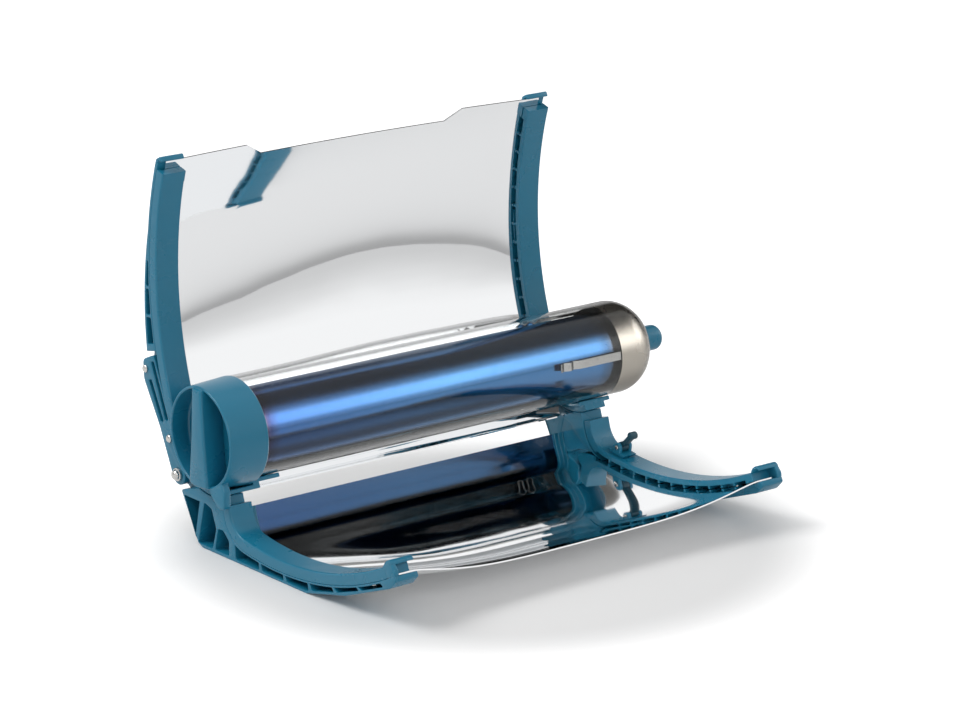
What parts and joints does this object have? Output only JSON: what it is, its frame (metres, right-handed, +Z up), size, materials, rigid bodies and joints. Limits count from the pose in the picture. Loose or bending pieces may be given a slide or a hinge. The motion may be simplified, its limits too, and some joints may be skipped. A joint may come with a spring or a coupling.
{
  "type": "tube solar oven",
  "caption": "Folding tabletop solar oven: a clear evacuated glass tube with a pull-out food tray lies on a stand between two curved mirror wings hinged behind it.",
  "frame": {"origin": "on the floor, under the middle of the oven's box, with the upper wing open on its stop", "axes": "+X along the glass tube from the handle cap to the sealed tip, +Y from the lower wing's nose to the hinge, +Z up"},
  "size_m": [0.35, 0.2436, 0.2264],
  "materials": {
    "teal_plastic": "satin moulded plastic with a fine grain",
    "dark_plastic": "satin moulded plastic",
    "mirror_sheet": "polished, slightly wavy sheet",
    "clear_glass": "clear polished glass",
    "absorber_coat": "dark blue selective coating, glossy, under glass",
    "steel": "bright stainless steel",
    "silicone": "matt silicone"
  },
  "bodies": {
    "base": {"lower_rib_left": "teal_plastic", "lower_rib_right": "teal_plastic", "lower_strip_left": "teal_plastic", "lower_strip_right": "teal_plastic", "lower_mirror": "mirror_sheet", "saddle_left": "teal_plastic", "saddle_right": "teal_plastic", "hinge_rod": "steel", "hinge_sleeve": "steel", "hinge_nut_left": "steel", "hinge_nut_right": "steel", "latch_base": "teal_plastic", "latch_pin": "steel", "lower_strip_screw_left_1": "steel", "lower_strip_screw_left_2": "steel", "lower_strip_screw_right_1": "steel", "lower_strip_screw_right_2": "steel"},
    "upper_wing": {"upper_rib_left": "teal_plastic", "upper_rib_right": "teal_plastic", "upper_strip_left": "teal_plastic", "upper_strip_right": "teal_plastic", "hinge_arm_left": "teal_plastic", "hinge_arm_right": "teal_plastic", "upper_mirror": "mirror_sheet", "upper_strip_screw_left_1": "steel", "upper_strip_screw_left_2": "steel", "upper_strip_screw_right_1": "steel", "upper_strip_screw_right_2": "steel", "arm_screw_left_1": "steel", "arm_screw_left_2": "steel", "arm_screw_right_1": "steel", "arm_screw_right_2": "steel"},
    "glass_tube": {"outer_glass": "clear_glass", "absorber_tube": "absorber_coat", "tube_mouth_ring": "clear_glass", "tip_protector": "teal_plastic", "support_clip": "steel", "getter_ring": "steel"},
    "food_tray": {"handle_cap": "teal_plastic", "cap_seal": "silicone", "cap_plug": "dark_plastic", "tray_pan": "steel", "tray_rivet_1": "steel", "tray_rivet_2": "steel"},
    "latch": {"latch_lever": "dark_plastic"}
  },
  "joints": [
    {"name": "wing_fold", "type": "hinge", "parent": "base", "child": "upper_wing", "pos_m": [0, 0.08706, 0.03909], "axis": [1, 0, 0], "range_deg": [0, 76]},
    {"name": "tube_transfer", "type": "hinge", "parent": "base", "child": "glass_tube", "pos_m": [0, 0.01165, 0.0404], "axis": [1, 0, 0], "range_deg": [0, 136]},
    {"name": "tray_slide", "type": "slide", "parent": "glass_tube", "child": "food_tray", "axis": [-1, 0, 0], "range_m": [0, 0.24]},
    {"name": "latch_turn", "type": "hinge", "parent": "base", "child": "latch", "pos_m": [0.1125, 0.01371, 0.01995], "axis": [-1, 0, 0], "range_deg": [0, 80]}
  ],
  "couplings": [
    {"joint": "tube_transfer", "follows": "wing_fold", "ratio": 1.779}
  ]
}
